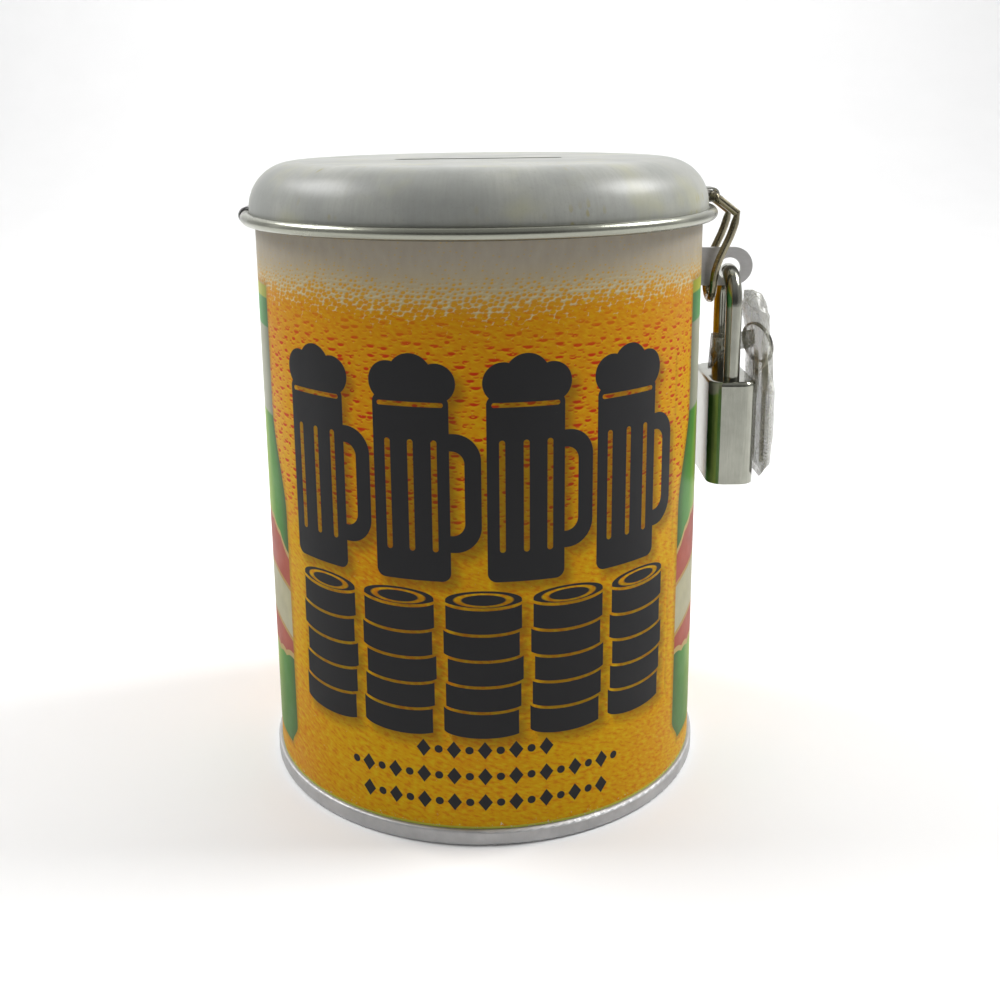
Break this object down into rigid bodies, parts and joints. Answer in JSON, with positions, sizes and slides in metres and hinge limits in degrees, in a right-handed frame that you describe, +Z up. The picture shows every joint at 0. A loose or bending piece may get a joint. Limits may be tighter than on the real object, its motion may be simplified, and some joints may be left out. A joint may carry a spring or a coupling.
{
  "type": "tin money box",
  "caption": "Round printed tin money box with a hinged cap lid, coin slot, wire bail and hasp, locked by a small key padlock with its keys in a clear pouch.",
  "frame": {"origin": "centre of the can's bottom rim, in the plane that the can stands on", "axes": "+Z up along the can's axis, -Y out of the front of the artwork, +X towards the hasp and padlock, -X towards the lid's hinge"},
  "size_m": [0.1037, 0.0904, 0.119],
  "materials": {
    "printed_tin": "glossy litho print",
    "printed_lid": "glossy litho print",
    "tinplate": "bare tinplate",
    "hasp_steel": "satin",
    "bail_wire": "drawn wire",
    "lock_chrome": "polished",
    "lock_casting": "as cast",
    "lock_brass": "machined",
    "spring_steel": "wire",
    "key_steel": "nickel plated",
    "pouch_film": "clear film"
  },
  "bodies": {
    "can": {"body_wall": "printed_tin", "bottom_end": "tinplate", "hinge_strip": "tinplate", "hasp_tab": "hasp_steel"},
    "lid": {"lid_shell": "printed_lid"},
    "bail": {"bail_wire": "bail_wire"},
    "shackle": {"shackle": "lock_chrome"},
    "lock": {"lock_case": "lock_chrome", "lock_core": "lock_casting", "lock_base_plate": "lock_chrome", "shackle_stop_pin": "spring_steel", "shackle_spring": "spring_steel"},
    "plug": {"plug": "lock_brass", "wafers": "lock_brass", "wafer_springs": "spring_steel"},
    "latch": {"latch": "lock_brass"},
    "key_bundle": {"key_pouch": "pouch_film", "pouch_neck": "pouch_film", "key_ring": "spring_steel", "key_1": "key_steel", "key_2": "key_steel"}
  },
  "joints": [
    {"name": "lid_open", "type": "hinge", "parent": "can", "child": "lid", "pos_m": [-0.0441, 0, 0.109], "axis": [0, -1, 0], "range_deg": [0, 100]},
    {"name": "bail_swing", "type": "hinge", "parent": "lid", "child": "bail", "pos_m": [0.0445, 0, 0.1118], "axis": [0, -1, 0], "range_deg": [0, 100]},
    {"name": "padlock_take_off", "type": "slide", "parent": "can", "child": "shackle", "axis": [1, 0, 0], "range_m": [0, 0.075]},
    {"name": "case_unlock", "type": "slide", "parent": "shackle", "child": "lock", "axis": [0, 0, -1], "range_m": [0, 0.005], "deforming": ["shackle_spring"]},
    {"name": "plug_turn", "type": "hinge", "parent": "lock", "child": "plug", "pos_m": [0.0486, 0, 0.065], "axis": [0, 0, 1], "range_deg": [0, 90]},
    {"name": "latch_slide", "type": "slide", "parent": "lock", "child": "latch", "axis": [0, 1, 0], "range_m": [0, 0.00241]},
    {"name": "pouch_swing", "type": "hinge", "parent": "shackle", "child": "key_bundle", "pos_m": [0.0486, 0, 0.083], "axis": [1, 0, 0], "range_deg": [-20, 20]}
  ],
  "couplings": [
    {"joint": "bail_swing", "follows": "padlock_take_off", "rad_per_m": 23.271},
    {"joint": "plug_turn", "follows": "case_unlock", "rad_per_m": 314.16},
    {"joint": "latch_slide", "follows": "case_unlock", "ratio": 0.48083}
  ]
}
